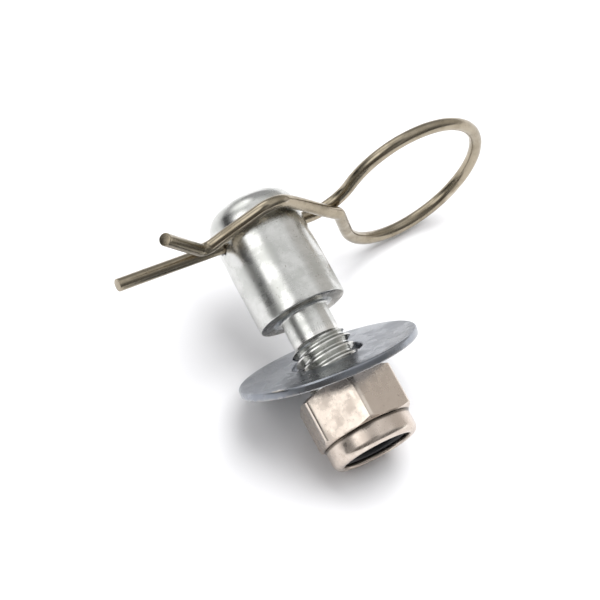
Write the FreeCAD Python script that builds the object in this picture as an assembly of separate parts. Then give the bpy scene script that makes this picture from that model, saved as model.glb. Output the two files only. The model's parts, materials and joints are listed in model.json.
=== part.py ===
"""Hitch pin lock: a stepped stud with a cross hole, a fender washer, a nylon-insert lock nut and a
one-wire hitch-pin clip, lying on a table. One STEP file per node, in millimetres.

Row frame: +Z up, origin at the centre of the post's shoulder face, +X above the stud's axis towards
the nut. The stud is first built along +X in its own pin frame, then pitched nose down, because it
lies on the washer's rim and the nut's corner.
"""
import FreeCAD, Part
import math
import os

Vector = FreeCAD.Vector
X_AXIS = Vector(1, 0, 0)
Y_AXIS = Vector(0, 1, 0)
ORIGIN = Vector(0, 0, 0)

# How the part lies on the table, in degrees
PITCH_DOWN = 17.3       # the nut end is lower than the post
CLIP_ROLL = -10.4       # the clip's ring end is lower than its straight tip
CLIP_SWING = 10.7       # the clip leans about its straight leg, hump towards the post's end

# Stud: 3/4 in post, 1/2-13 thread
POST_R = 9.525
POST_LENGTH = 26.7
POST_EDGE_R = 4.2       # rounded outer edge of the post
POST_CROWN_R = 36.0     # slight dome across the post's end
SHOULDER_CHAMFER = 0.4
CROSS_HOLE_R = 1.6
CROSS_HOLE_X = -19.0
NECK_R = 5.1
NECK_LENGTH = 6.3
THREAD_R = 6.35
THREAD_ROOT_R = 5.2
THREAD_PITCH = 25.4 / 13
THREAD_END = 28.4
ROOT_HALF_WIDTH = 0.14
GROOVE_OVERSHOOT = 0.3      # the groove's cutter stands proud of the rod by this much
GROOVE_EXTRA_TURNS = 2      # the groove runs this many turns past each end of the rod
THREAD_SEAM_TURN = 37.0     # keeps the rod's seam away from the groove's ends

# Fender washer, leaning on the thread
WASHER_R = 19.05
WASHER_HOLE_R = 7.55
WASHER_THICKNESS = 1.7
WASHER_EDGE = 0.25
WASHER_X = 11.0
WASHER_DROP = 0.1           # its hole is larger than the thread, so it hangs a little low
WASHER_LEAN = 24.0          # top edge towards the nut

# Lock nut with a nylon insert
NUT_FACE_X = 17.0
NUT_FLATS = 19.05
NUT_HEX_HEIGHT = 10.6
NUT_HEIGHT = 15.1
NUT_CHAMFER_ANGLE = 30.0
NUT_CORNER_CUT_R = 10.75    # radius where the end chamfers start, just inside the corners
NUT_BORE_R = 6.42
NUT_TURN = -6.9             # which way the flats face about the stud
COLLAR_R = 9.35
COLLAR_LIP_R = 7.35
COLLAR_CAVITY_R = 8.45
COLLAR_LIP = 1.0
COLLAR_ROUND = 1.5
INSERT_THICKNESS = 3.0
INSERT_BORE_R = 6.45
INSERT_GAP = 0.02
NUT_FACE_INSET = 0.3        # the end chamfers start this far inside the flats
CHAMFER_OVERHANG = 1.0      # the chamfer cones run this far past the corners
LIP_SLOPE = 0.35            # the lip's end face falls inwards by this share of the lip
CUT_OVERLAP = 1.0           # how far a cutter runs past the face it opens

# Clip: one wire, bent into a straight leg, a ring and a wavy leg
WIRE_R = 1.35
LEG_TIP = -34.0             # along the leg, from the stud's axis
LEG_BEND_R = 9.0
RING_R = 16.93
RING_ALONG = 36.9
RING_ACROSS = 2.0
RING_ARCS = 9
RING_LEAVES_AT = 209.6      # degrees about the ring's centre, where the wavy leg leaves it
CROSSING_OFFSET = 3.05      # the wavy leg passes beside the straight leg
CROSSING_BEND_R = 3.0
HUG_R = 11.15               # the hump's flanks touch this circle about the post's axis
HUG_FROM = 58.0
HUG_TO = 132.0
HUMP_BEND_R = 5.0
TROUGH_R = 2.6
TROUGH_BOTTOM = 2.85
FLARE_ANGLE = 139.0
FLARE_LENGTH = 13.2
HUMP_OFFSET = 1.3
FLARE_OFFSET = 0.5
ARC_SHARE = 0.97            # the ring's arcs stop short of meeting, so that a run joins them


def pitched(shape):
    """Turns a shape from the pin frame into the row frame."""
    shape.rotate(ORIGIN, Y_AXIS, PITCH_DOWN)
    return shape


def turned(points):
    """Solid of revolution about +X from (x, r) points; a point may be ('arc', mid, end)."""
    edges = []
    here = Vector(*points[0], 0)
    for step in points[1:]:
        if step[0] == "arc":
            middle = Vector(*step[1], 0)
            there = Vector(*step[2], 0)
            edges.append(Part.Arc(here, middle, there).toShape())
        else:
            there = Vector(*step, 0)
            edges.append(Part.LineSegment(here, there).toShape())
        here = there
    edges.append(Part.LineSegment(here, Vector(*points[0], 0)).toShape())
    return Part.Face(Part.Wire(edges)).revolve(ORIGIN, X_AXIS, 360)


def cylinder(radius, start, end):
    return Part.makeCylinder(radius, end - start, Vector(start, 0, 0), X_AXIS)


def post_end_points():
    """The domed end: a shallow crown that runs into the rounded edge without a break."""
    crown_centre = -POST_LENGTH + POST_CROWN_R
    edge_centre_r = POST_R - POST_EDGE_R
    reach = POST_CROWN_R - POST_EDGE_R
    edge_centre = crown_centre - math.sqrt(reach ** 2 - edge_centre_r ** 2)
    join_angle = math.asin(edge_centre_r / reach)

    def on_crown(angle):
        return (crown_centre - POST_CROWN_R * math.cos(angle), POST_CROWN_R * math.sin(angle))

    def on_edge(angle):
        x = edge_centre - POST_EDGE_R * math.cos(angle)
        return (x, edge_centre_r + POST_EDGE_R * math.sin(angle))

    return [
        (-POST_LENGTH, 0),
        ("arc", on_crown(join_angle / 2), on_crown(join_angle)),
        ("arc", on_edge((join_angle + math.pi / 2) / 2), on_edge(math.pi / 2)),
    ]


def thread_groove():
    """The helical groove that is cut from the rod to leave the thread, along +Z from zero."""
    past_end = GROOVE_EXTRA_TURNS * THREAD_PITCH
    length = THREAD_END - NECK_LENGTH
    outer = THREAD_R + GROOVE_OVERSHOOT
    outer_half = ROOT_HALF_WIDTH + (outer - THREAD_ROOT_R) * math.tan(math.radians(30))
    corners = [
        Vector(THREAD_ROOT_R, 0, -ROOT_HALF_WIDTH),
        Vector(outer, 0, -outer_half),
        Vector(outer, 0, outer_half),
        Vector(THREAD_ROOT_R, 0, ROOT_HALF_WIDTH),
    ]
    section = Part.makePolygon(corners + corners[:1])
    helix = Part.makeHelix(THREAD_PITCH, length + 2 * past_end, THREAD_ROOT_R)
    groove = Part.Wire(helix).makePipeShell([section], True, True)
    groove.translate(Vector(0, 0, -past_end))
    return groove


def threaded_rod():
    rod = Part.makeCylinder(THREAD_R, THREAD_END - NECK_LENGTH)
    rod.rotate(ORIGIN, Vector(0, 0, 1), THREAD_SEAM_TURN)
    rod = rod.cut(thread_groove())
    rod.rotate(ORIGIN, Y_AXIS, 90)
    rod.translate(Vector(NECK_LENGTH, 0, 0))
    return rod


def make_stud():
    shoulder = [
        (-SHOULDER_CHAMFER, POST_R),
        (0, POST_R - SHOULDER_CHAMFER),
        (0, NECK_R),
        (NECK_LENGTH, NECK_R),
        (NECK_LENGTH, 0),
    ]
    body = turned(post_end_points() + shoulder)
    body = body.fuse(threaded_rod())
    leg = clip_frame_direction()
    start = Vector(CROSS_HOLE_X, 0, 0) - leg * 2 * POST_R
    hole = Part.makeCylinder(CROSS_HOLE_R, 4 * POST_R, start, leg)
    return body.cut(hole)


def make_washer():
    outer = WASHER_R
    inner = WASHER_HOLE_R
    half = WASHER_THICKNESS / 2
    edge = WASHER_EDGE
    washer = turned([
        (-half, inner),
        (-half, outer - edge),
        (-half + edge, outer),
        (half - edge, outer),
        (half, outer - edge),
        (half, inner),
    ])
    washer.rotate(ORIGIN, Y_AXIS, WASHER_LEAN)
    washer.translate(Vector(WASHER_X, 0, -WASHER_DROP))
    return washer


def make_nut():
    """Hex body, chamfered at both ends, with a round collar rolled in over the insert."""
    corner_r = NUT_FLATS / 2 / math.cos(math.radians(30))
    corners = []
    for i in range(7):
        angle = math.radians(NUT_TURN + 60 * i)
        corners.append(Vector(NUT_FACE_X, corner_r * math.sin(angle), corner_r * math.cos(angle)))
    hex_body = Part.Face(Part.makePolygon(corners)).extrude(Vector(NUT_HEX_HEIGHT, 0, 0))
    hex_end = NUT_FACE_X + NUT_HEX_HEIGHT
    nut_end = NUT_FACE_X + NUT_HEIGHT
    flat_r = NUT_FLATS / 2 - NUT_FACE_INSET
    over_r = corner_r + CHAMFER_OVERHANG
    drop = (over_r - flat_r) * math.tan(math.radians(NUT_CHAMFER_ANGLE))
    chamfers = turned([
        (NUT_FACE_X, 0),
        (NUT_FACE_X, flat_r),
        (NUT_FACE_X + drop, over_r),
        (hex_end - drop, over_r),
        (hex_end, flat_r),
        (hex_end, 0),
    ])
    corner_limit = cylinder(NUT_CORNER_CUT_R, NUT_FACE_X, hex_end)
    hex_body = hex_body.common(chamfers).common(corner_limit)
    bend = COLLAR_ROUND * (1 - math.sqrt(0.5))
    collar = turned([
        (hex_end - CUT_OVERLAP, 0),
        (hex_end - CUT_OVERLAP, COLLAR_R),
        (nut_end - COLLAR_ROUND, COLLAR_R),
        ("arc", (nut_end - bend, COLLAR_R - bend), (nut_end, COLLAR_R - COLLAR_ROUND)),
        (nut_end - COLLAR_LIP * LIP_SLOPE, COLLAR_LIP_R),
        (nut_end - COLLAR_LIP, COLLAR_LIP_R),
        (nut_end - COLLAR_LIP, 0),
    ])
    nut = hex_body.fuse(collar).removeSplitter()
    cavity_end = nut_end - COLLAR_LIP
    cavity_start = cavity_end - INSERT_THICKNESS
    nut = nut.cut(cylinder(COLLAR_CAVITY_R, cavity_start, cavity_end))
    nut = nut.cut(cylinder(COLLAR_LIP_R, cavity_end - CUT_OVERLAP, nut_end + CUT_OVERLAP))
    return nut.cut(cylinder(NUT_BORE_R, NUT_FACE_X - CUT_OVERLAP, cavity_start + CUT_OVERLAP))


def make_insert():
    end = NUT_FACE_X + NUT_HEIGHT - COLLAR_LIP - INSERT_GAP
    start = end - INSERT_THICKNESS + 2 * INSERT_GAP
    ring = cylinder(COLLAR_CAVITY_R - INSERT_GAP, start, end)
    return ring.cut(cylinder(INSERT_BORE_R, start - CUT_OVERLAP, end + CUT_OVERLAP))


def clip_frame_direction():
    """Unit vector along the straight leg, towards the ring, in the pin frame."""
    roll = math.radians(CLIP_ROLL)
    return Vector(0, math.cos(roll), math.sin(roll))


def clip_point(along, across, aside):
    """A point of the clip in the pin frame: along the leg, towards the hump, and beside it."""
    leg = clip_frame_direction()
    up = X_AXIS.cross(leg)
    swing = math.radians(CLIP_SWING)
    across_axis = up * math.cos(swing) - X_AXIS * math.sin(swing)
    aside_axis = X_AXIS * math.cos(swing) + up * math.sin(swing)
    hole = Vector(CROSS_HOLE_X, 0, 0)
    return hole + leg * along + across_axis * across + aside_axis * aside


def on_ring(angle, radius):
    turn = math.radians(angle)
    return (RING_ALONG + radius * math.cos(turn), RING_ACROSS + radius * math.sin(turn))


def bent_wire(corners):
    """A round wire along runs that tangent arcs join. corners holds (point, bend radius) pairs."""
    points = [clip_point(*corner) for corner, radius in corners]
    edges = []
    here = points[0]
    for i in range(1, len(points) - 1):
        before = (points[i - 1] - points[i]).normalize()
        after = (points[i + 1] - points[i]).normalize()
        half_turn = (math.pi - before.getAngle(after)) / 2
        radius = corners[i][1]
        trim = radius * math.tan(half_turn)
        arc_start = points[i] + before * trim
        arc_end = points[i] + after * trim
        middle_way = (before + after).normalize()
        arc_middle = points[i] + middle_way * (radius / math.cos(half_turn) - radius)
        edges.append(Part.LineSegment(here, arc_start).toShape())
        edges.append(Part.Arc(arc_start, arc_middle, arc_end).toShape())
        here = arc_end
    edges.append(Part.LineSegment(here, points[-1]).toShape())
    path = Part.Wire(edges)
    first_run = (points[1] - points[0]).normalize()
    section = Part.Wire(Part.makeCircle(WIRE_R, points[0], first_run))
    wire = path.makePipeShell([section], True, False)
    expected = math.pi * WIRE_R ** 2 * path.Length
    print("wire length %.1f mm, volume %.1f of %.1f" % (path.Length, wire.Volume, expected))
    return wire


def leg_bend_corner():
    """Where the straight leg's line meets the ring's tangent, and the ring angle of that tangent."""
    reach = RING_R + LEG_BEND_R
    rise = LEG_BEND_R - RING_ACROSS
    centre_along = RING_ALONG - math.sqrt(reach ** 2 - rise ** 2)
    ring_angle = 180 - math.degrees(math.asin(rise / reach))
    turn = math.radians(ring_angle - 90)
    corner = centre_along + LEG_BEND_R * math.tan(turn / 2)
    return corner, ring_angle


def ring_step():
    """The angle between two corners of the polygon around the ring, and the first corner's start."""
    starts_at = leg_bend_corner()[1]
    return (360 + starts_at - RING_LEAVES_AT) / RING_ARCS, starts_at


def ring_corners():
    """Corners of the polygon around the ring, from the leg round to where the wavy leg leaves."""
    step, starts_at = ring_step()
    corner_r = RING_R / math.cos(math.radians(step / 2))
    corners = []
    for i in range(RING_ARCS):
        place = on_ring(starts_at - (i + 0.5) * step, corner_r)
        share = (i + 0.5) / RING_ARCS
        corners.append(((*place, leaving_offset() * share), RING_R * ARC_SHARE))
    return corners


def crossing_corner():
    """Where the run from the ring meets the run up to the hump."""
    leave = on_ring(RING_LEAVES_AT, RING_R)
    heading = math.radians(RING_LEAVES_AT - 90)
    run = (math.cos(heading), math.sin(heading))
    hug = math.radians(HUG_FROM)
    touch = (HUG_R * math.cos(hug), HUG_R * math.sin(hug))
    slope = (-math.sin(hug), math.cos(hug))
    gap = (touch[0] - leave[0], touch[1] - leave[1])
    determinant = run[1] * slope[0] - run[0] * slope[1]
    distance = (gap[1] * slope[0] - gap[0] * slope[1]) / determinant
    return (leave[0] + run[0] * distance, leave[1] + run[1] * distance)


def leaving_offset():
    """How far aside the wire is where it leaves the ring. The runs on both sides of it are in line."""
    last_run = RING_R * math.tan(math.radians(ring_step()[0] / 2))
    next_run = math.dist(on_ring(RING_LEAVES_AT, RING_R), crossing_corner())
    rise_share = 0.5 / RING_ARCS
    return CROSSING_OFFSET / (1 + next_run * rise_share / last_run)


def leave_point():
    return (*on_ring(RING_LEAVES_AT, RING_R), leaving_offset())


def make_clip():
    """The straight leg and the ring."""
    corners = [((LEG_TIP, 0, 0), 0), ((leg_bend_corner()[0], 0, 0), LEG_BEND_R)]
    corners += ring_corners()
    corners.append((leave_point(), 0))
    return bent_wire(corners)


def make_spring_leg():
    """The wavy leg: across the straight leg, over the post, down to it again, and flared out."""
    middle = math.radians((HUG_FROM + HUG_TO) / 2)
    half_sweep = math.radians((HUG_TO - HUG_FROM) / 2)
    hump_r = HUG_R / math.cos(half_sweep)
    hump = (hump_r * math.cos(middle), hump_r * math.sin(middle), HUMP_OFFSET)
    down = math.radians(HUG_TO + 90)
    flare = math.radians(FLARE_ANGLE)
    centre_across = TROUGH_BOTTOM + TROUGH_R
    touch_across = centre_across - TROUGH_R * math.sin(math.radians(HUG_TO))
    slant = math.radians(HUG_TO - 90)
    touch_along = -(HUG_R - touch_across * math.cos(slant)) / math.sin(slant)
    trough_turn = down - flare
    trim = TROUGH_R * math.tan(trough_turn / 2)
    trough = (touch_along + trim * math.cos(down), touch_across + trim * math.sin(down), FLARE_OFFSET)
    reach = trim + FLARE_LENGTH
    tip = (trough[0] + reach * math.cos(flare), trough[1] + reach * math.sin(flare), FLARE_OFFSET)
    corners = [
        (leave_point(), 0),
        ((*crossing_corner(), CROSSING_OFFSET), CROSSING_BEND_R),
        (hump, HUMP_BEND_R),
        (trough, TROUGH_R),
        (tip, 0),
    ]
    return bent_wire(corners)


NODES = {
    "stud": make_stud,
    "fender_washer": make_washer,
    "lock_nut": make_nut,
    "nylon_insert": make_insert,
    "clip_ring_and_leg": make_clip,
    "clip_spring_leg": make_spring_leg,
}

os.makedirs("parts", exist_ok=True)
for node, make in NODES.items():
    solid = pitched(make())
    box = solid.BoundBox
    print("%-18s %d solid, %8.1f mm3, valid %s, x %.1f %.1f y %.1f %.1f z %.1f %.1f" % (
        node, len(solid.Solids), solid.Volume, solid.isValid(),
        box.XMin, box.XMax, box.YMin, box.YMax, box.ZMin, box.ZMax,
    ))
    solid.exportStep("parts/%s.step" % node)
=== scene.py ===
import json
import math

import bmesh
import bpy
from mathutils import Matrix, Vector


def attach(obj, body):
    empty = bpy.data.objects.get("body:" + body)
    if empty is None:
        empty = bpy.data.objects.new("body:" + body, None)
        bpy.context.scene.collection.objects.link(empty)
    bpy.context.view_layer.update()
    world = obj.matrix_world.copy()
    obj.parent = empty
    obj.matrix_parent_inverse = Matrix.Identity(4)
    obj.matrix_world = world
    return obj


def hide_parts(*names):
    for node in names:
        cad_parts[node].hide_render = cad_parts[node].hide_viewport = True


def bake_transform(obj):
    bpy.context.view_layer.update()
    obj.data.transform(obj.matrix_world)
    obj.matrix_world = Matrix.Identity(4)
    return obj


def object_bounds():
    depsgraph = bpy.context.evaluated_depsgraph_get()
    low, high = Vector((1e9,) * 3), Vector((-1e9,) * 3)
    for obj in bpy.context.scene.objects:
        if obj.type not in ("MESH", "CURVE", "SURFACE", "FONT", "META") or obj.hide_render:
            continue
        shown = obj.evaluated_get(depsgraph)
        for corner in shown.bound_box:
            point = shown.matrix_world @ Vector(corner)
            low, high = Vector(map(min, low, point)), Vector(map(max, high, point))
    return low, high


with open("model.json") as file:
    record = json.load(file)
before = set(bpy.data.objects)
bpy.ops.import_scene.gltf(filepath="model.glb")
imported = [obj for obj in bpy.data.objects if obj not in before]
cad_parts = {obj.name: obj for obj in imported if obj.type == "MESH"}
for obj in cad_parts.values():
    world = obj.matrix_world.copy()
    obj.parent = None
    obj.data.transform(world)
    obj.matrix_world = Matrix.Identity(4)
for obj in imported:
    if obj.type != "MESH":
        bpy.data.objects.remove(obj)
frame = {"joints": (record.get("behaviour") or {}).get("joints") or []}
cad_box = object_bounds()

# Stud, in metres along and around its own axis
POST_R = 0.009525
POST_LENGTH = 0.0267
POST_EDGE_R = 0.0042
POST_CROWN_R = 0.036
SHOULDER_EDGE = 0.0003
CROSS_HOLE_R = 0.0016
CROSS_HOLE_MOUTH = 0.0019
MOUTH_DEPTH = 0.0004        # how far the hole's countersink reaches into the post
CROSS_HOLE_X = -0.019
NECK_R = 0.0051
NECK_LENGTH = 0.0063
NECK_FILLET = 0.0006
THREAD_R = 0.00635
THREAD_ROOT_R = 0.0052
THREAD_PITCH = 0.0254 / 13
THREAD_END = 0.0284
THREAD_CHAMFER = 0.001

# Washer
WASHER_R = 0.01905
WASHER_HOLE_R = 0.00755
WASHER_THICKNESS = 0.0017
WASHER_ROLL = 0.00045      # rounded edge of the stamped side
WASHER_EDGE = 0.0002       # broken edge of the other side
WASHER_LEAN = math.radians(24.0)

# Nut and insert
NUT_FACE_X = 0.017
NUT_FLATS = 0.01905
NUT_HEX_HEIGHT = 0.0106
NUT_HEIGHT = 0.0151
NUT_CHAMFER = math.radians(30)
NUT_CORNER_R = 0.0007
NUT_FACE_INSET = 0.0003     # the end chamfers start this far inside the flats
CHAMFER_OVERHANG = 0.62     # of the flats: the turned envelope's radius, outside the hex's corners
BORE_CHAMFER = 0.0009
NUT_BORE_R = 0.00642
NUT_TURN = math.radians(-6.9)
COLLAR_R = 0.00935
COLLAR_LIP_R = 0.00735
COLLAR_CAVITY_R = 0.00845
COLLAR_LIP = 0.001
COLLAR_ROUND = 0.0015
COLLAR_ROOT_STEP = 0.0001   # small step where the collar meets the hex
COLLAR_ROOT_LENGTH = 0.0002
INSERT_THICKNESS = 0.003
INSERT_BORE_R = 0.00645
INSERT_GAP = 0.00003        # between the insert and the collar's walls
INSERT_ROUND = 0.0007
INSERT_EDGE = 0.0003

# Clip wire, in its own plane: along the straight leg, across towards the hump, aside from it
WIRE_R = 0.00135
LEG_TIP = -0.034
LEG_BEND_R = 0.009
RING_R = 0.01693
RING_ALONG = 0.0369
RING_ACROSS = 0.002
RING_LEAVES_AT = math.radians(209.6)
CROSSING_OFFSET = 0.00305
CROSSING_R = 0.003
LEAVE_SHARE = 0.905         # of the crossing's offset, reached where the wavy leg leaves the ring
HUG_R = 0.01115
HUG_FROM = math.radians(58)
HUG_TO = math.radians(132)
HUMP_BEND_R = 0.005
TROUGH_R = 0.0026
TROUGH_BOTTOM = 0.00285
FLARE_ANGLE = math.radians(139)
FLARE_LENGTH = 0.0132
HUMP_OFFSET = 0.0013
FLARE_OFFSET = 0.0005

ROUND_STEPS = 128
WIRE_SIDES = 28
BEND_STEP = math.radians(4)
FEED_STEP = 0.0008
TIP_EDGE = 0.00016
SHARP_ANGLE = math.radians(32)
SHADE_RING_EDGE = 0.00015        # softness of a painted shade ring's inner and outer edges
METAL_BUMP = 0.00002
NYLON_BUMP = 0.00001

# Camera
VIEW_AZIMUTH = math.radians(56.5)
VIEW_ELEVATION = math.radians(54.1)
VIEW_ROLL = math.radians(4.3)
VIEW_DISTANCE = 0.43
LENS = 127.2
AIM_RIGHT = -0.0006
AIM_UP = 0.0027

joints = {joint["name"]: joint for joint in frame["joints"]}


def joint_vector(name, key):
    return Vector(joints[name][key])


def axes_frame(x, y, z, origin):
    """A matrix whose columns are three axes and an origin."""
    frame_matrix = Matrix((x, y, z)).transposed().to_4x4()
    frame_matrix.translation = origin
    return frame_matrix


def stud_frame():
    along = joint_vector("nut_travel", "axis").normalized()
    level = Vector((0, 1, 0))
    return axes_frame(along, level, along.cross(level), Vector((0, 0, 0)))


def clip_frame():
    leg = joint_vector("clip_pull", "axis").normalized()
    aside = -joint_vector("clip_flex", "axis").normalized()
    hole = STUD_FRAME @ Vector((CROSS_HOLE_X, 0, 0))
    return axes_frame(leg, aside.cross(leg), aside, hole)


STUD_FRAME = stud_frame()
CLIP_FRAME = clip_frame()


# ---------------------------------------------------------------- mesh helpers

def spun(mesh, outline, steps=ROUND_STEPS):
    """Turns an outline of (x, r) points about the X axis. Points on the axis close the shape."""
    points = [mesh.verts.new((x, r, 0)) for x, r in outline]
    edges = [mesh.edges.new(pair) for pair in zip(points, points[1:])]
    bmesh.ops.spin(
        mesh, geom=points + edges, cent=(0, 0, 0), axis=(1, 0, 0),
        angle=2 * math.pi, steps=steps, use_merge=True,
    )
    bmesh.ops.remove_doubles(mesh, verts=mesh.verts, dist=1e-7)
    bmesh.ops.dissolve_degenerate(mesh, edges=mesh.edges, dist=1e-8)


def arc_points(centre, radius, start, end, count):
    """Points of an arc in the outline's plane, both ends included. Angles from +x, in radians."""
    points = []
    for i in range(count + 1):
        angle = start + (end - start) * i / count
        points.append((centre[0] + radius * math.cos(angle), centre[1] + radius * math.sin(angle)))
    return points


def run_points(start, end, count):
    """Evenly spaced points from start to end, without the first."""
    points = []
    for i in range(1, count + 1):
        share = i / count
        points.append((start[0] + (end[0] - start[0]) * share, start[1] + (end[1] - start[1]) * share))
    return points


def mark_sharp(mesh, angle=SHARP_ANGLE):
    for face in mesh.faces:
        face.smooth = True
    for edge in mesh.edges:
        edge.smooth = len(edge.link_faces) == 2 and edge.calc_face_angle(0) < angle


def finished(mesh, name, material, place=None):
    """Makes the object from a bmesh, with its place in its mesh."""
    if place is not None:
        bmesh.ops.transform(mesh, matrix=place, verts=mesh.verts)
    bmesh.ops.recalc_face_normals(mesh, faces=mesh.faces)
    mark_sharp(mesh)
    data = bpy.data.meshes.new(name)
    mesh.to_mesh(data)
    mesh.free()
    data.materials.append(material)
    piece = bpy.data.objects.new(name, data)
    bpy.context.scene.collection.objects.link(piece)
    return piece


def apply_modifiers(piece):
    depsgraph = bpy.context.evaluated_depsgraph_get()
    data = bpy.data.meshes.new_from_object(piece.evaluated_get(depsgraph))
    piece.modifiers.clear()
    piece.data = data


def combined(piece, tool, operation):
    """Cuts, or keeps the part inside, another shape, which is then removed."""
    modifier = piece.modifiers.new(operation.lower(), "BOOLEAN")
    modifier.operation = operation
    modifier.solver = "EXACT"
    modifier.object = tool
    apply_modifiers(piece)
    bpy.data.objects.remove(tool)


# ------------------------------------------------------------------ materials

def new_group(name, inputs, outputs):
    """A shader node group. inputs holds (name, kind, value) and outputs (name, kind)."""
    group = bpy.data.node_groups.new(name, "ShaderNodeTree")
    for label, kind, value in inputs:
        socket = group.interface.new_socket(label, in_out="INPUT", socket_type="NodeSocket" + kind)
        if value is not None:
            socket.default_value = value
    for label, kind in outputs:
        group.interface.new_socket(label, in_out="OUTPUT", socket_type="NodeSocket" + kind)
    return group, group.nodes.new("NodeGroupInput"), group.nodes.new("NodeGroupOutput")


def feed(tree, socket, value):
    """Sets a socket to a plain value, or links another socket to it."""
    if isinstance(value, bpy.types.NodeSocket):
        tree.links.new(value, socket)
    elif isinstance(value, tuple) and len(value) == 3 and socket.type == "RGBA":
        socket.default_value = (*value, 1)
    else:
        socket.default_value = value


def noise(tree, vector, scale, detail=3.0, roughness=0.55):
    node = tree.nodes.new("ShaderNodeTexNoise")
    feed(tree, node.inputs["Vector"], vector)
    feed(tree, node.inputs["Scale"], scale)
    feed(tree, node.inputs["Detail"], detail)
    feed(tree, node.inputs["Roughness"], roughness)
    return node.outputs["Fac"]


def eased_range(tree, value, low, high, to_low=0.0, to_high=1.0):
    node = tree.nodes.new("ShaderNodeMapRange")
    node.interpolation_type = "SMOOTHSTEP"
    for label, number in zip(("Value", "From Min", "From Max", "To Min", "To Max"),
                             (value, low, high, to_low, to_high)):
        feed(tree, node.inputs[label], number)
    return node.outputs["Result"]


def maths(tree, operation, first, second=0.0):
    node = tree.nodes.new("ShaderNodeMath")
    node.operation = operation
    feed(tree, node.inputs[0], first)
    feed(tree, node.inputs[1], second)
    return node.outputs[0]


def mixed(tree, share, first, second):
    node = tree.nodes.new("ShaderNodeMix")
    node.data_type = "RGBA"
    colour_sockets = [socket for socket in node.inputs if socket.type == "RGBA"]
    feed(tree, node.inputs[0], share)
    feed(tree, colour_sockets[0], first)
    feed(tree, colour_sockets[1], second)
    return [socket for socket in node.outputs if socket.type == "RGBA"][0]


def mapped(tree, vector, turn=(0, 0, 0), scale=(1, 1, 1)):
    """Coordinates in a turned frame, divided by scale."""
    node = tree.nodes.new("ShaderNodeMapping")
    node.vector_type = "TEXTURE"
    feed(tree, node.inputs["Rotation"], turn)
    feed(tree, node.inputs["Scale"], scale)
    feed(tree, node.inputs["Vector"], vector)
    return node.outputs["Vector"]


def bump(tree, height, distance):
    node = tree.nodes.new("ShaderNodeBump")
    feed(tree, node.inputs["Height"], height)
    feed(tree, node.inputs["Distance"], distance)
    return node.outputs["Normal"]


def placed(tree, group, **values):
    node = tree.nodes.new("ShaderNodeGroup")
    node.node_tree = group
    for label, value in values.items():
        feed(tree, node.inputs[label], value)
    return node.outputs


def make_plating_group():
    """Cloudy patches and small dark specks of a plated surface."""
    group, given, result = new_group(
        "plating_clouds", [("Place", "Vector", None), ("Size", "Float", 1.0)],
        [("Clouds", "Float"), ("Specks", "Float"), ("Grain", "Float")],
    )
    place = mapped(group, given.outputs["Place"])
    sized = group.nodes.new("ShaderNodeVectorMath")
    sized.operation = "SCALE"
    feed(group, sized.inputs[0], place)
    feed(group, sized.inputs["Scale"], given.outputs["Size"])
    place = sized.outputs[0]
    clouds = eased_range(group, noise(group, place, 210, 4, 0.62), 0.36, 0.66)
    specks = eased_range(group, noise(group, place, 1500, 2, 0.5), 0.66, 0.76)
    grain = noise(group, place, 4200, 2, 0.6)
    for label, value in (("Clouds", clouds), ("Specks", specks), ("Grain", grain)):
        feed(group, result.inputs[label], value)
    return group


def make_marks_group():
    """Fine lines across the frame's first axis, left by a tool or a die."""
    group, given, result = new_group(
        "tool_marks", [("Place", "Vector", None)], [("Fine", "Float"), ("Broad", "Float")],
    )
    fine = noise(group, given.outputs["Place"], 1.0, 3, 0.7)
    broad = noise(group, given.outputs["Place"], 0.17, 2, 0.5)
    feed(group, result.inputs["Fine"], fine)
    feed(group, result.inputs["Broad"], broad)
    return group


def make_knocks_group():
    """Small dents and short scratches from loose parts in a box."""
    group, given, result = new_group("knocks", [("Place", "Vector", None)], [("Height", "Float")])
    dents = group.nodes.new("ShaderNodeTexVoronoi")
    feed(group, dents.inputs["Vector"], given.outputs["Place"])
    dents.inputs["Scale"].default_value = 420
    dented = eased_range(group, dents.outputs["Distance"], 0.0, 0.34)
    scratch_place = mapped(group, given.outputs["Place"], (0.5, 0.9, 0.3), (1, 14, 1))
    lines = noise(group, scratch_place, 2600, 1, 0.4)
    scratches = eased_range(group, lines, 0.68, 0.74)
    height = maths(group, "SUBTRACT", dented, maths(group, "MULTIPLY", scratches, 0.3))
    feed(group, result.inputs["Height"], height)
    return group


def make_wear_and_shade_group():
    """Where edges are rubbed, broken up by a fine noise; and hollows, where shade is painted."""
    group, given, result = new_group(
        "rubbed_edges_and_shade", [("Place", "Vector", None), ("Start", "Float", 0.52), ("End", "Float", 0.6)],
        [("Rubbed", "Float"), ("PaintedShade", "Float")],
    )
    shape = group.nodes.new("ShaderNodeNewGeometry").outputs["Pointiness"]
    broken = noise(group, given.outputs["Place"], 900, 3, 0.6)
    shake = maths(group, "MULTIPLY", maths(group, "SUBTRACT", broken, 0.5), 0.08)
    shaken = maths(group, "ADD", shape, shake)
    rubbed = eased_range(group, shaken, given.outputs["Start"], given.outputs["End"])
    feed(group, result.inputs["Rubbed"], rubbed)
    # Painted shade: concave places, found by pointiness, are marked for darkening
    feed(group, result.inputs["PaintedShade"], eased_range(group, shape, 0.47, 0.40))
    return group


GROUPS = {
    "plating": make_plating_group(),
    "marks": make_marks_group(),
    "knocks": make_knocks_group(),
    "wear_and_shade": make_wear_and_shade_group(),
}


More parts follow.
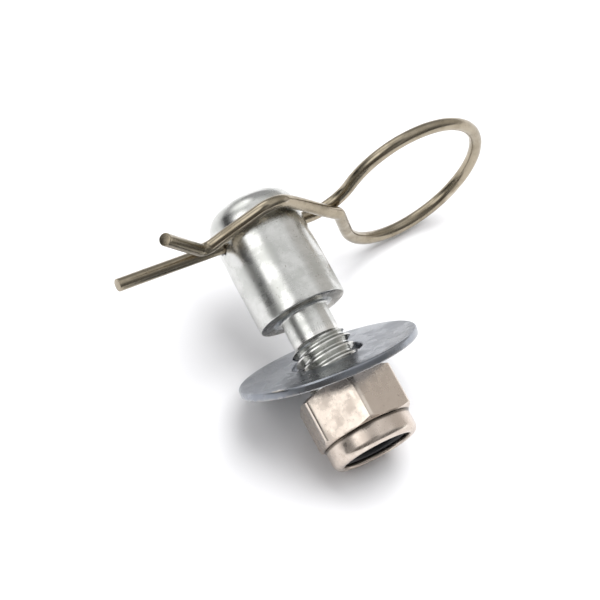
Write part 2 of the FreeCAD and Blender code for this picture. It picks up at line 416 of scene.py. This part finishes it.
def metal(name, colours, roughness, turn, marks, bumps, cloud_size=1.0, along_wire=False, shade_ring=None):
    """A plated metal. colours are its clean, clouded, dark and rubbed tones, and marks the size of
    its tool marks along three axes of the turned frame, in metres. The dark tone is grime in the specks,
    and painted shade in hollows and in the optional ring of painted shade about the turned frame's X axis,
    given as (place along it, half width, inner radius, outer radius, depth)."""
    material = bpy.data.materials.new(name)
    material.use_nodes = True
    tree = material.node_tree
    shader = tree.nodes["Principled BSDF"]
    clean, clouded, grime_and_shade, rubbed = colours
    place = tree.nodes.new("ShaderNodeTexCoord").outputs["Object"]
    mark_place = place
    if along_wire:
        read = tree.nodes.new("ShaderNodeAttribute")
        read.attribute_name = "wire_place"
        mark_place = read.outputs["Vector"]
    plating = placed(tree, GROUPS["plating"], Place=place, Size=cloud_size)
    lines = placed(tree, GROUPS["marks"], Place=mapped(tree, mark_place, turn, marks))
    knocks = placed(tree, GROUPS["knocks"], Place=place)
    wear_and_shade = placed(tree, GROUPS["wear_and_shade"], Place=place)
    colour = mixed(tree, maths(tree, "MULTIPLY", plating["Clouds"], 0.75), clean, clouded)
    colour = mixed(tree, eased_range(tree, lines["Broad"], 0.3, 0.75, 0.0, 0.35), colour, clouded)
    colour = mixed(tree, maths(tree, "MULTIPLY", plating["Specks"], 0.5), colour, grime_and_shade)
    # Painted shade: hollows are darkened towards the dark tone
    colour = mixed(tree, maths(tree, "MULTIPLY", wear_and_shade["PaintedShade"], 0.8), colour, grime_and_shade)
    colour = mixed(tree, maths(tree, "MULTIPLY", wear_and_shade["Rubbed"], 0.7), colour, rubbed)
    # Painted shade: an optional dark ring about the turned frame's X axis
    if shade_ring is not None:
        colour = mixed(tree, painted_shade_ring(tree, mapped(tree, place, turn), shade_ring), colour, grime_and_shade)
    feed(tree, shader.inputs["Base Color"], colour)
    low, high = roughness
    rough = eased_range(tree, plating["Clouds"], 0.0, 1.0, low, high)
    streaks = maths(tree, "MULTIPLY", maths(tree, "SUBTRACT", lines["Fine"], 0.5), 0.12)
    rough = maths(tree, "ADD", rough, streaks)
    rough = maths(tree, "SUBTRACT", rough, maths(tree, "MULTIPLY", wear_and_shade["Rubbed"], 0.06))
    feed(tree, shader.inputs["Roughness"], rough)
    shader.inputs["Metallic"].default_value = 1
    line_bump, knock_bump = bumps
    height = maths(tree, "MULTIPLY", lines["Fine"], line_bump)
    height = maths(tree, "ADD", height, maths(tree, "MULTIPLY", knocks["Height"], knock_bump))
    height = maths(tree, "ADD", height, maths(tree, "MULTIPLY", plating["Grain"], 0.12))
    feed(tree, shader.inputs["Normal"], bump(tree, height, METAL_BUMP))
    return material


def painted_shade_ring(tree, place, shade_ring):
    """A soft mask of a ring of painted shade about the X axis of place."""
    along, half_width, inner, outer, depth = shade_ring
    parts = tree.nodes.new("ShaderNodeSeparateXYZ")
    feed(tree, parts.inputs[0], place)
    radius = maths(tree, "POWER", parts.outputs["Y"], 2)
    radius = maths(tree, "ADD", radius, maths(tree, "POWER", parts.outputs["Z"], 2))
    radius = maths(tree, "SQRT", radius)
    away = maths(tree, "ABSOLUTE", maths(tree, "SUBTRACT", parts.outputs["X"], along))
    mask = eased_range(tree, away, half_width * 1.5, half_width * 0.5, 0.0, depth)
    mask = maths(tree, "MULTIPLY", mask, eased_range(tree, radius, inner - SHADE_RING_EDGE, inner + SHADE_RING_EDGE))
    return maths(tree, "MULTIPLY", mask, eased_range(tree, radius, outer + SHADE_RING_EDGE, outer - SHADE_RING_EDGE))


def stud_turn():
    return tuple(STUD_FRAME.to_euler())


def make_stud_steel():
    return metal(
        "bright_turned_steel",
        ((0.68, 0.68, 0.66), (0.52, 0.53, 0.50), (0.20, 0.18, 0.14), (0.80, 0.79, 0.76)),
        (0.20, 0.32), stud_turn(), (0.00022, 0.02, 0.02), (0.55, 0.25),
        # Painted shade: a dark ring on the shoulder face, between the neck and the post's edge
        shade_ring=(0, 0.00022, 0.0066, 0.0093, 0.85),
    )


def make_washer_zinc():
    return metal(
        "blue_grey_zinc",
        ((0.31, 0.33, 0.36), (0.24, 0.255, 0.285), (0.12, 0.10, 0.08), (0.66, 0.62, 0.55)),
        (0.22, 0.36), stud_turn(), (0.02, 0.0011, 0.0011), (0.15, 0.45), 0.7,
    )


def make_nut_plating():
    return metal(
        "warm_nut_plating",
        ((0.68, 0.60, 0.525), (0.60, 0.515, 0.445), (0.10, 0.08, 0.06), (0.78, 0.71, 0.62)),
        (0.20, 0.34), stud_turn(), (0.0012, 0.0012, 0.0012), (0.10, 0.55), 1.3,
        # Painted shade: a dark ring in the crease where the collar meets the hex
        shade_ring=(NUT_FACE_X + NUT_HEX_HEIGHT, 0.00045, 0.0070, 0.0096, 0.9),
    )


def make_spring_wire():
    return metal(
        "drawn_spring_wire",
        ((0.38, 0.33, 0.25), (0.27, 0.23, 0.165), (0.08, 0.06, 0.04), (0.54, 0.48, 0.39)),
        (0.16, 0.28), (0, 0, 0), (0.03, 0.09, 0.09), (0.5, 0.3), 1.5, along_wire=True,
    )


def make_nylon():
    material = bpy.data.materials.new("black_nylon")
    material.use_nodes = True
    tree = material.node_tree
    shader = tree.nodes["Principled BSDF"]
    place = tree.nodes.new("ShaderNodeTexCoord").outputs["Object"]
    plating = placed(tree, GROUPS["plating"], Place=place, Size=1.0)
    colour = mixed(tree, plating["Clouds"], (0.012, 0.013, 0.015), (0.03, 0.03, 0.032))
    feed(tree, shader.inputs["Base Color"], colour)
    feed(tree, shader.inputs["Roughness"], eased_range(tree, plating["Clouds"], 0, 1, 0.35, 0.5))
    feed(tree, shader.inputs["Normal"], bump(tree, plating["Grain"], NYLON_BUMP))
    return material


# --------------------------------------------------------------------- pieces

def post_outline():
    """From the crown's centre, over the rounded edge, along the post, to the neck's end."""
    crown_centre = -POST_LENGTH + POST_CROWN_R
    edge_r = POST_R - POST_EDGE_R
    reach = POST_CROWN_R - POST_EDGE_R
    edge_centre = crown_centre - math.sqrt(reach ** 2 - edge_r ** 2)
    join = math.asin(edge_r / reach)
    outline = arc_points((crown_centre, 0), POST_CROWN_R, math.pi, math.pi - join, 8)
    outline += arc_points((edge_centre, edge_r), POST_EDGE_R, math.pi - join, math.pi / 2, 12)[1:]
    outline += run_points(outline[-1], (-SHOULDER_EDGE, POST_R), 26)
    outline += arc_points(
        (-SHOULDER_EDGE, POST_R - SHOULDER_EDGE), SHOULDER_EDGE, math.pi / 2, 0, 4)[1:]
    outline += run_points(outline[-1], (0, NECK_R + NECK_FILLET), 4)
    outline += arc_points(
        (NECK_FILLET, NECK_R + NECK_FILLET), NECK_FILLET, math.pi, 1.5 * math.pi, 5)[1:]
    outline += run_points(outline[-1], (NECK_LENGTH, NECK_R), 6)
    return outline


def thread_profile(root_r, crest_r, start):
    """One pitch of a thread, root to root, from start along the axis."""
    root = 0.07 * THREAD_PITCH
    crest = 0.075 * THREAD_PITCH
    flank = (THREAD_PITCH - 2 * root - 2 * crest) / 2
    steps = [0, root, root + flank * 0.5, root + flank]
    radii = [root_r, root_r, (root_r + crest_r) / 2, crest_r]
    points = list(zip(steps, radii))
    points += [(THREAD_PITCH - x, r) for x, r in reversed(points)]
    return [(start + x, r) for x, r in points]


def thread_into(mesh):
    """A right-hand thread from the neck to the stud's end, its two ends chamfered."""
    turns = math.ceil((THREAD_END - NECK_LENGTH) / THREAD_PITCH) + 2
    outline = thread_profile(THREAD_ROOT_R, THREAD_R, NECK_LENGTH - 1.5 * THREAD_PITCH)
    points = [mesh.verts.new((x, r, 0)) for x, r in outline]
    edges = [mesh.edges.new(pair) for pair in zip(points, points[1:])]
    steps = ROUND_STEPS // 2
    bmesh.ops.spin(
        mesh, geom=points + edges, cent=(0, 0, 0), axis=(1, 0, 0),
        dvec=(THREAD_PITCH / steps, 0, 0), angle=2 * math.pi * turns, steps=steps * turns,
    )
    bmesh.ops.remove_doubles(mesh, verts=mesh.verts, dist=1e-6)
    for plane, outward in ((NECK_LENGTH, -1), (THREAD_END, 1)):
        bmesh.ops.bisect_plane(
            mesh, geom=mesh.verts[:] + mesh.edges[:] + mesh.faces[:], dist=1e-7,
            plane_co=(plane, 0, 0), plane_no=(outward, 0, 0), clear_outer=True,
        )
    for vert in mesh.verts:
        radius = math.hypot(vert.co.y, vert.co.z)
        room = min(vert.co.x - NECK_LENGTH, THREAD_END - THREAD_CHAMFER - vert.co.x + THREAD_R - NECK_R)
        allowed = min(THREAD_R, NECK_R + max(room, 0))
        if radius > allowed:
            vert.co.yz = vert.co.yz * (allowed / radius)


def make_stud(material):
    rod = bmesh.new()
    thread_into(rod)
    end_loop = [e for e in rod.edges if e.is_boundary and e.verts[0].co.x > THREAD_END - 1e-5]
    bmesh.ops.contextual_create(rod, geom=end_loop)
    holder = bpy.data.meshes.new("thread")
    rod.to_mesh(holder)
    rod.free()
    mesh = bmesh.new()
    spun(mesh, post_outline())
    mesh.from_mesh(holder)
    bpy.data.meshes.remove(holder)
    mesh.edges.ensure_lookup_table()
    loops = [e for e in mesh.edges if e.is_boundary]
    bmesh.ops.bridge_loops(mesh, edges=loops)
    piece = finished(mesh, "turned_stud", material)
    cutter = bmesh.new()
    spun(cutter, [
        (-2 * POST_R, 0), (-2 * POST_R, CROSS_HOLE_MOUTH + POST_R),
        (-POST_R + MOUTH_DEPTH, CROSS_HOLE_R), (POST_R - MOUTH_DEPTH, CROSS_HOLE_R),
        (2 * POST_R, CROSS_HOLE_MOUTH + POST_R), (2 * POST_R, 0),
    ], 48)
    leg = STUD_FRAME.inverted() @ CLIP_FRAME
    tool = finished(cutter, "hole_cutter", material, leg)
    combined(piece, tool, "DIFFERENCE")
    mesh = bmesh.new()
    mesh.from_mesh(piece.data)
    bpy.data.objects.remove(piece)
    piece = finished(mesh, "turned_stud", material, STUD_FRAME)
    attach(piece, "stud")
    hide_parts("stud")
    return piece


def make_washer(material):
    half = WASHER_THICKNESS / 2
    roll = WASHER_ROLL
    outline = [(half, WASHER_HOLE_R + WASHER_EDGE)]
    outline += run_points(outline[-1], (half, WASHER_R - WASHER_EDGE), 8)
    outline += [(half - WASHER_EDGE, WASHER_R)]
    outline += run_points(outline[-1], (-half + roll, WASHER_R), 2)
    outline += arc_points((-half + roll, WASHER_R - roll), roll, math.pi / 2, math.pi, 5)[1:]
    outline += run_points(outline[-1], (-half, WASHER_HOLE_R + roll), 8)
    outline += arc_points((-half + roll, WASHER_HOLE_R + roll), roll, math.pi, 1.5 * math.pi, 5)[1:]
    outline += run_points(outline[-1], (half - WASHER_EDGE, WASHER_HOLE_R), 2)
    outline += [outline[0]]
    mesh = bmesh.new()
    spun(mesh, outline)
    lean = Matrix.Rotation(WASHER_LEAN, 4, "Y")
    centre = Matrix.Translation(joint_vector("washer_tilt", "pos_m"))
    turn = STUD_FRAME.to_3x3().to_4x4()
    piece = finished(mesh, "washer", material, centre @ turn @ lean)
    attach(piece, "washer")
    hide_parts("fender_washer")
    return piece


def nut_outline():
    """The turned envelope that the hexagon is cut to, with the collar and its hollow."""
    flat_r = NUT_FLATS / 2 - NUT_FACE_INSET
    hex_end = NUT_FACE_X + NUT_HEX_HEIGHT
    end = NUT_FACE_X + NUT_HEIGHT
    over = NUT_FLATS * CHAMFER_OVERHANG
    drop = (over - flat_r) * math.tan(NUT_CHAMFER)
    cavity = end - COLLAR_LIP - INSERT_THICKNESS
    lip_r = COLLAR_LIP / 2
    outline = [
        (NUT_FACE_X + BORE_CHAMFER, NUT_BORE_R),
        (NUT_FACE_X, NUT_BORE_R + BORE_CHAMFER),
        (NUT_FACE_X, flat_r),
        (NUT_FACE_X + drop, over),
        (hex_end - drop, over),
        (hex_end, flat_r),
        (hex_end, COLLAR_R + COLLAR_ROOT_STEP),
    ]
    outline += [(hex_end + COLLAR_ROOT_LENGTH, COLLAR_R)]
    outline += run_points(outline[-1], (end - COLLAR_ROUND, COLLAR_R), 3)
    outline += arc_points(
        (end - COLLAR_ROUND, COLLAR_R - COLLAR_ROUND), COLLAR_ROUND, math.pi / 2, 0, 10)[1:]
    outline += arc_points(
        (end - lip_r, COLLAR_LIP_R + lip_r), lip_r, 0, -math.pi, 10)
    outline += [
        (end - COLLAR_LIP, COLLAR_CAVITY_R),
        (cavity, COLLAR_CAVITY_R),
        (cavity, NUT_BORE_R),
        (NUT_FACE_X + BORE_CHAMFER, NUT_BORE_R),
    ]
    return outline


def make_nut(material):
    mesh = bmesh.new()
    spun(mesh, nut_outline())
    piece = finished(mesh, "turned_nut", material)
    stock = bmesh.new()
    corner_r = NUT_FLATS / 2 / math.cos(math.radians(30))
    bmesh.ops.create_cone(
        stock, cap_ends=True, segments=6, radius1=corner_r, radius2=corner_r, depth=NUT_HEIGHT * 1.2,
        matrix=Matrix.Rotation(math.radians(90), 4, "Y"),
    )
    long_edges = [e for e in stock.edges if abs((e.verts[0].co - e.verts[1].co).x) > NUT_HEIGHT]
    bmesh.ops.bevel(
        stock, geom=long_edges, offset=NUT_CORNER_R, segments=4, affect="EDGES",
        profile=0.5, material=-1,
    )
    to_axis = Matrix.Rotation(math.radians(30) - NUT_TURN, 4, "X")
    centre = Matrix.Translation((NUT_FACE_X + NUT_HEIGHT / 2, 0, 0))
    tool = finished(stock, "hex_bar", material, centre @ to_axis)
    combined(piece, tool, "INTERSECT")
    mesh = bmesh.new()
    mesh.from_mesh(piece.data)
    bpy.data.objects.remove(piece)
    bmesh.ops.remove_doubles(mesh, verts=mesh.verts, dist=1e-7)
    piece = finished(mesh, "nut", material, STUD_FRAME)
    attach(piece, "nut")
    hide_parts("lock_nut")
    return piece


def make_insert(material):
    end = NUT_FACE_X + NUT_HEIGHT - COLLAR_LIP
    start = end - INSERT_THICKNESS
    outer = COLLAR_CAVITY_R - INSERT_GAP
    round_r = INSERT_ROUND
    outline = [(start + INSERT_GAP, INSERT_BORE_R + INSERT_EDGE), (start + INSERT_GAP, outer)]
    outline += run_points(outline[-1], (end - INSERT_GAP, outer), 2)
    outline += run_points(outline[-1], (end - INSERT_GAP, INSERT_BORE_R + round_r), 2)
    outline += arc_points((end - round_r, INSERT_BORE_R + round_r), round_r, 0, -math.pi / 2, 6)[1:]
    outline += [(start + INSERT_EDGE, INSERT_BORE_R), outline[0]]
    mesh = bmesh.new()
    spun(mesh, outline, 96)
    piece = finished(mesh, "insert_ring", material, STUD_FRAME)
    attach(piece, "insert")
    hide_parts("nylon_insert")
    return piece


class WireBender:
    """Forms a wire in the clip's plane, as a bending machine does: it feeds straight or bends."""

    def __init__(self, start, heading):
        self.mesh = bmesh.new()
        self.layer = self.mesh.verts.layers.float_vector.new("wire_place")
        self.place = Vector((*start, 0))
        self.heading = heading
        self.length = 0
        turn = Matrix.Rotation(heading, 4, "Z") @ Matrix.Rotation(math.radians(90), 4, "Y")
        made = bmesh.ops.create_circle(
            self.mesh, segments=WIRE_SIDES, radius=WIRE_R,
            matrix=Matrix.Translation(self.place) @ turn,
        )
        self.section = made["verts"]
        self.sections = []
        self.note()

    def note(self):
        """Remembers this section, and writes on its points how far along and around they are."""
        left = Vector((-math.sin(self.heading), math.cos(self.heading), 0))
        for vert in self.section:
            out = vert.co - self.place
            vert[self.layer] = (self.length, out.dot(left) / WIRE_R, out.z / WIRE_R)
        self.sections.append((self.length, list(self.section)))

    def section_edges(self):
        verts = set(self.section)
        return [e for e in self.mesh.edges if e.verts[0] in verts and e.verts[1] in verts]

    def feed(self, distance):
        count = max(1, round(distance / FEED_STEP))
        step = Vector((math.cos(self.heading), math.sin(self.heading), 0)) * distance / count
        for _ in range(count):
            made = bmesh.ops.extrude_edge_only(self.mesh, edges=self.section_edges())["geom"]
            self.section = [part for part in made if isinstance(part, bmesh.types.BMVert)]
            bmesh.ops.translate(self.mesh, verts=self.section, vec=step)
            self.place = self.place + step
            self.length += distance / count
            self.note()

    def bend(self, radius, angle):
        """Bends left for a positive angle and right for a negative one."""
        side = math.copysign(1, angle)
        centre = self.place + Vector((-math.sin(self.heading), math.cos(self.heading), 0)) * side * radius
        count = max(1, round(abs(angle) / BEND_STEP))
        turn = Matrix.Rotation(angle / count, 3, "Z")
        for _ in range(count):
            made = bmesh.ops.spin(
                self.mesh, geom=self.section_edges(), cent=centre, axis=(0, 0, 1),
                angle=angle / count, steps=1,
            )["geom_last"]
            self.section = [part for part in made if isinstance(part, bmesh.types.BMVert)]
            self.place = centre + turn @ (self.place - centre)
            self.heading += angle / count
            self.length += radius * abs(angle) / count
            self.note()

    def cap(self, section, cut=0.0):
        """Closes one end. A free end is cut square, with its edge broken."""
        made = bmesh.ops.contextual_create(self.mesh, geom=section)["faces"]
        if cut:
            rim = [edge for face in made for edge in face.edges]
            bmesh.ops.bevel(
                self.mesh, geom=rim, offset=cut, segments=3, affect="EDGES", profile=0.5, material=-1,
            )

    def lift(self, keys):
        """Moves the wire aside from its plane, smoothly between (length, offset) keys."""
        for length, verts in self.sections:
            offset = eased(keys, length)
            for vert in verts:
                vert.co.z += offset


def eased(keys, length):
    for (start, low), (end, high) in zip(keys, keys[1:]):
        if length <= end:
            share = max(0, (length - start) / (end - start))
            share = share * share * (3 - 2 * share)
            return low + (high - low) * share
    return keys[-1][1]


def leave_point():
    turn = RING_LEAVES_AT
    return (RING_ALONG + RING_R * math.cos(turn), RING_ACROSS + RING_R * math.sin(turn))


def leave_offset():
    return CROSSING_OFFSET * LEAVE_SHARE


def make_ring_and_leg(material):
    reach = RING_R + LEG_BEND_R
    rise = LEG_BEND_R - RING_ACROSS
    bend_start = RING_ALONG - math.sqrt(reach ** 2 - rise ** 2)
    bend_angle = math.radians(90) - math.asin(rise / reach)
    wire = WireBender((LEG_TIP, 0), 0)
    wire.feed(bend_start - LEG_TIP)
    wire.bend(LEG_BEND_R, bend_angle)
    ring_start = wire.length
    sweep = 2 * math.pi + math.radians(90) + bend_angle - RING_LEAVES_AT
    wire.bend(RING_R, -sweep)
    wire.lift([(0, 0), (ring_start, 0), (wire.length, leave_offset())])
    wire.cap(wire.section)
    wire.cap(wire.sections[0][1], TIP_EDGE)
    piece = finished(wire.mesh, "ring_and_leg", material, CLIP_FRAME)
    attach(piece, "clip")
    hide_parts("clip_ring_and_leg")
    return piece


def make_wavy_leg(material):
    start = Vector(leave_point())
    heading = RING_LEAVES_AT - math.pi / 2
    run = Vector((math.cos(heading), math.sin(heading)))
    slope = Vector((-math.sin(HUG_FROM), math.cos(HUG_FROM)))
    touch = Vector((math.cos(HUG_FROM), math.sin(HUG_FROM))) * HUG_R
    gap = touch - start
    across = run.cross(slope)
    to_corner = gap.cross(slope) / across
    from_corner = run.cross(gap) / across
    first_turn = HUG_FROM + math.pi / 2 - heading
    trim = CROSSING_R * math.tan(first_turn / 2)
    wire = WireBender(start, heading)
    wire.feed(to_corner - trim)
    crossing = wire.length
    wire.bend(CROSSING_R, first_turn)
    flank = (HUG_R - HUMP_BEND_R) * math.tan((HUG_TO - HUG_FROM) / 2)
    wire.feed(from_corner - trim + flank)
    hump_start = wire.length
    wire.bend(HUMP_BEND_R, HUG_TO - HUG_FROM)
    turn = HUG_TO + math.pi / 2 - FLARE_ANGLE
    drop = wire.place.y + TROUGH_R * (math.sin(HUG_TO) - 1) - TROUGH_BOTTOM
    wire.feed(drop / -math.cos(HUG_TO))
    wire.bend(TROUGH_R, -turn)
    trough = wire.length
    wire.feed(FLARE_LENGTH)
    wire.lift([
        (0, leave_offset()), (crossing, CROSSING_OFFSET), (crossing + 0.001, CROSSING_OFFSET),
        (hump_start, HUMP_OFFSET), (trough, FLARE_OFFSET), (wire.length, FLARE_OFFSET),
    ])
    wire.cap(wire.sections[0][1])
    wire.cap(wire.section, TIP_EDGE)
    piece = finished(wire.mesh, "wavy_leg", material, CLIP_FRAME)
    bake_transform(piece)
    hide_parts("clip_spring_leg")
    return piece


# ---------------------------------------------------------------------- stage

def make_floor():
    mesh = bmesh.new()
    bmesh.ops.create_grid(mesh, x_segments=1, y_segments=1, size=FLOOR_SIZE)
    bmesh.ops.translate(mesh, verts=mesh.verts, vec=(0, 0, cad_box[0][2]))
    material = bpy.data.materials.new("white_table")
    material.use_nodes = True
    shader = material.node_tree.nodes["Principled BSDF"]
    shader.inputs["Base Color"].default_value = (0.86, 0.86, 0.875, 1)
    shader.inputs["Roughness"].default_value = 0.7
    finished(mesh, "table", material)


def direction(azimuth, elevation):
    """Unit vector from the part towards a place at that azimuth and elevation."""
    level = math.cos(elevation)
    return Vector((math.sin(azimuth) * level, -math.cos(azimuth) * level, math.sin(elevation)))


def make_softbox(name, azimuth, elevation, distance, size, power):
    """A lamp that lights the table and casts the shadows. Reflections come from the tent alone."""
    data = bpy.data.lights.new(name, "AREA")
    data.shape = "SQUARE"
    data.size = size
    data.energy = power
    lamp = bpy.data.objects.new(name, data)
    towards = direction(math.radians(azimuth), math.radians(elevation))
    lamp.location = towards * distance
    lamp.rotation_mode = "QUATERNION"
    lamp.rotation_quaternion = towards.to_track_quat("Z", "Y")
    lamp.visible_glossy = False
    bpy.context.scene.collection.objects.link(lamp)


def make_camera():
    data = bpy.data.cameras.new("camera")
    data.lens = LENS
    data.sensor_width = 36
    data.clip_start = 0.01
    camera = bpy.data.objects.new("camera", data)
    back = direction(VIEW_AZIMUTH, VIEW_ELEVATION)
    turn = back.to_track_quat("Z", "Y") @ Matrix.Rotation(VIEW_ROLL, 3, "Z").to_quaternion()
    camera.rotation_mode = "QUATERNION"
    camera.rotation_quaternion = turn
    camera.location = back * VIEW_DISTANCE + turn @ Vector((AIM_RIGHT, AIM_UP, 0))
    bpy.context.scene.collection.objects.link(camera)
    bpy.context.scene.camera = camera


def make_studio():
    """A pale tent with darker and brighter cards on it. The camera itself sees plain white."""
    world = bpy.data.worlds.new("studio")
    world.use_nodes = True
    tree = world.node_tree
    background = tree.nodes["Background"]
    towards = tree.nodes.new("ShaderNodeTexCoord").outputs["Generated"]
    colour = TENT_COLOUR
    for azimuth, elevation, width, softness, level in CARDS:
        aim = tree.nodes.new("ShaderNodeVectorMath")
        aim.operation = "DOT_PRODUCT"
        feed(tree, aim.inputs[0], towards)
        feed(tree, aim.inputs[1], tuple(direction(math.radians(azimuth), math.radians(elevation))))
        outer = math.cos(math.radians(width + softness))
        inner = math.cos(math.radians(max(width - softness, 0)))
        colour = mixed(tree, eased_range(tree, aim.outputs["Value"], outer, inner), colour, level)
    seen = tree.nodes.new("ShaderNodeLightPath").outputs["Is Camera Ray"]
    feed(tree, background.inputs["Color"], mixed(tree, seen, colour, (1, 1, 1)))
    bpy.context.scene.world = world


FLOOR_SIZE = 3.0
TENT_COLOUR = (0.44, 0.44, 0.45)
# Each card's azimuth, elevation, half width and softness in degrees, and its colour
CARDS = [
    (180, 78, 34, 14, (0.95, 0.95, 0.96)),
    (186, 18, 24, 14, (0.66, 0.64, 0.62)),
    (0, 50, 17, 7, (2.0, 2.0, 2.0)),
    (288, 40, 18, 8, (1.9, 1.9, 1.9)),
    (335, -4, 30, 12, (0.05, 0.05, 0.05)),
    (60, 60, 14, 10, (0.20, 0.20, 0.20)),
    (50, 10, 28, 15, (0.16, 0.15, 0.14)),
    (120, 10, 25, 15, (0.20, 0.20, 0.20)),
]

make_camera()
steel = make_stud_steel()
zinc = make_washer_zinc()
plated = make_nut_plating()
wire_metal = make_spring_wire()
make_stud(steel)
make_washer(zinc)
make_nut(plated)
make_insert(make_nylon())
make_ring_and_leg(wire_metal)
make_wavy_leg(wire_metal)
make_floor()
make_studio()
make_softbox("key", azimuth=195, elevation=70, distance=0.8, size=0.7, power=7.5)
bpy.context.scene.view_settings.view_transform = "Standard"
